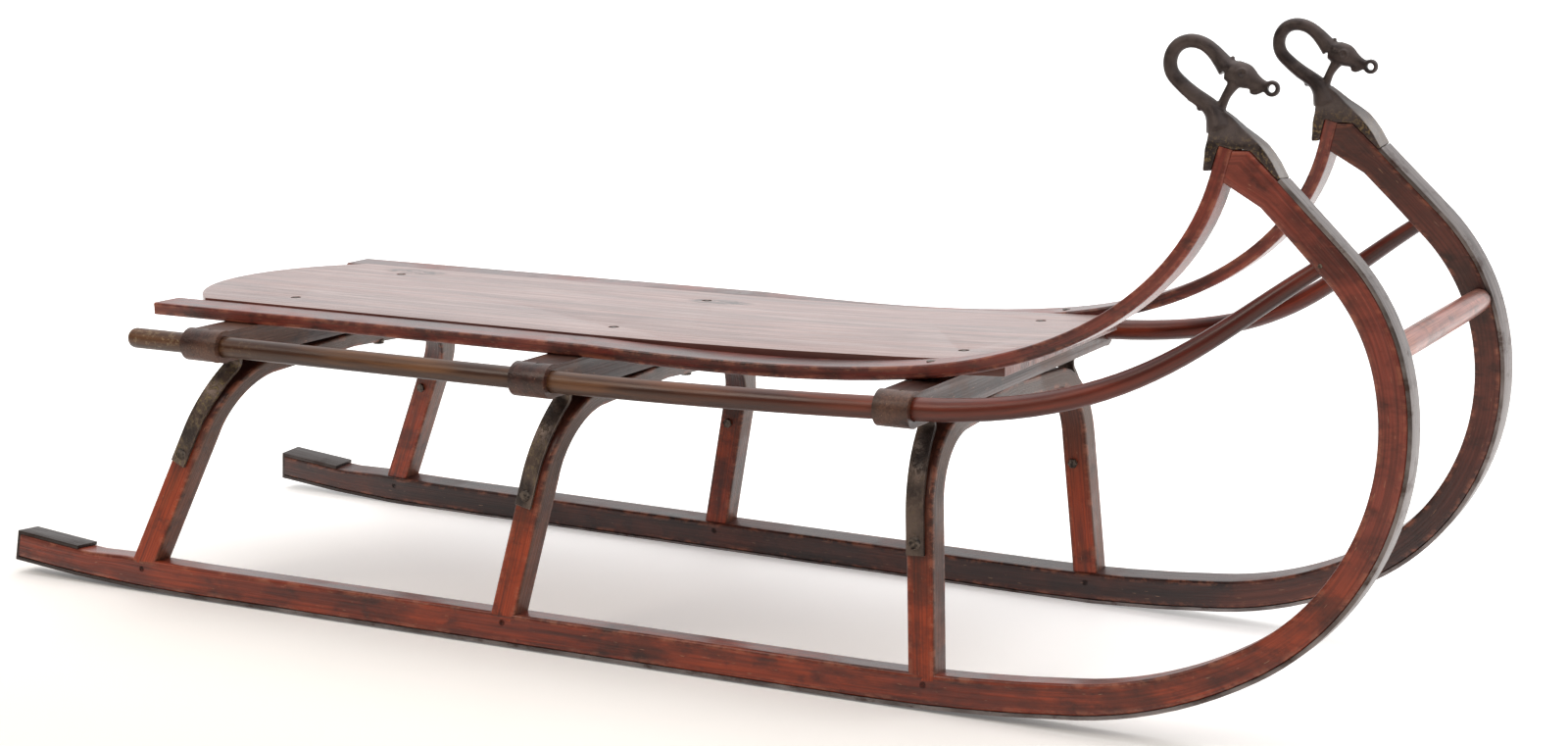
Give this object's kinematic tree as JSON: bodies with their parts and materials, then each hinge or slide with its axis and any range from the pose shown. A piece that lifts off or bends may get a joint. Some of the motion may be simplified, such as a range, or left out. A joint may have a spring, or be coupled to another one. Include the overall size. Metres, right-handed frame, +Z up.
{
  "type": "bow-runner sled",
  "caption": "Low wooden sled: bent runners on steel shoes, bentwood bows and crossbeams, plank seat, side slats and rods, and cast swan-neck finials.",
  "frame": {"origin": "middle of the bounding box at ground level, where the shoes rest", "axes": "+X forward along the runners, +Y to the rider's left, +Z up"},
  "size_m": [1.0365, 0.3548, 0.425],
  "materials": {
    "varnished_wood": "worn gloss varnish over red-brown stain",
    "rod_wood": "worn golden-brown varnish",
    "seat_wood": "worn, faded red-brown stain with a grey bloom",
    "shoe_steel": "worn steel strip",
    "strap_iron": "iron strap with worn bronze-brown paint",
    "finial_iron": "dark cast iron with worn edges",
    "fastener_steel": "tarnished steel"
  },
  "bodies": {
    "root": {"runner_left": "varnished_wood", "runner_right": "varnished_wood", "runner_shoe_left": "shoe_steel", "runner_shoe_right": "shoe_steel", "bow_rear": "varnished_wood", "bow_middle": "varnished_wood", "bow_front": "varnished_wood", "crossbeam_rear": "varnished_wood", "crossbeam_middle": "varnished_wood", "crossbeam_front": "varnished_wood", "brace_strap_rear_left": "strap_iron", "brace_strap_rear_right": "strap_iron", "brace_strap_middle_left": "strap_iron", "brace_strap_middle_right": "strap_iron", "brace_strap_front_left": "strap_iron", "brace_strap_front_right": "strap_iron", "seat_board": "seat_wood", "side_slat_left": "varnished_wood", "side_slat_right": "varnished_wood", "side_rod_left": "rod_wood", "side_rod_right": "rod_wood", "front_spreader": "varnished_wood", "finial_left": "finial_iron", "finial_right": "finial_iron", "foot_pegs": "varnished_wood", "crown_screws": "fastener_steel", "strap_bolts": "fastener_steel", "strap_screws": "fastener_steel", "rod_brads": "fastener_steel", "rod_tip_pins": "fastener_steel", "seat_screws": "fastener_steel", "slat_screws": "fastener_steel", "shoe_screws": "fastener_steel", "finial_pins": "finial_iron"}
  },
  "joints": []
}
